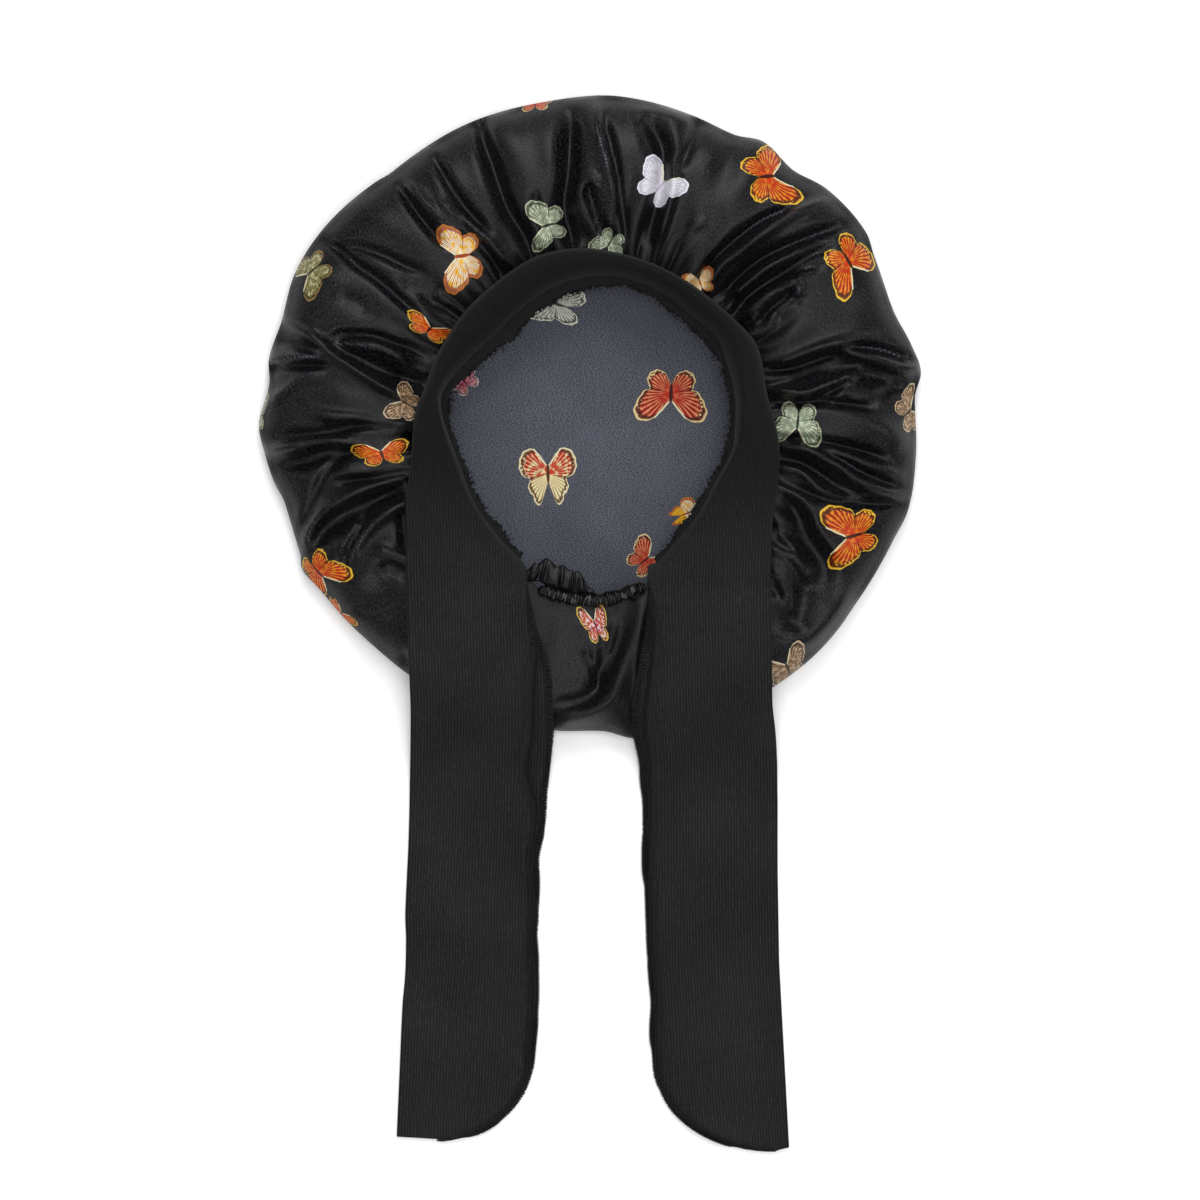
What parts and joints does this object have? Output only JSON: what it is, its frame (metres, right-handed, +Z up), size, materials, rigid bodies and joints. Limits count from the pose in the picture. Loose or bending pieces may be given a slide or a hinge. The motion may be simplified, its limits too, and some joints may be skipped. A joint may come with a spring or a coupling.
{
  "type": "satin bonnet",
  "caption": "Round gathered satin bonnet, laid with its opening up, with a folded rib-knit band that runs on as flat ties.",
  "frame": {"origin": "on the surface that the bonnet lies on, under the middle of its round crown", "axes": "+Z up out of the opening, +Y towards the brow, -Y towards the nape and along the ties"},
  "size_m": [0.3628, 0.5787, 0.0511],
  "materials": {
    "printed_satin": "glossy satin weave with a scattered butterfly print, duller and greyer on its reverse",
    "rib_knit": "matt black fine rib knit, folded double",
    "overlocked_edge": "black overlock stitching over raw cloth edges"
  },
  "bodies": {
    "root": {"crown": "printed_satin", "tie_band": "rib_knit", "seam_allowance": "overlocked_edge", "nape_casing": "printed_satin", "nape_frill": "printed_satin"}
  },
  "joints": []
}
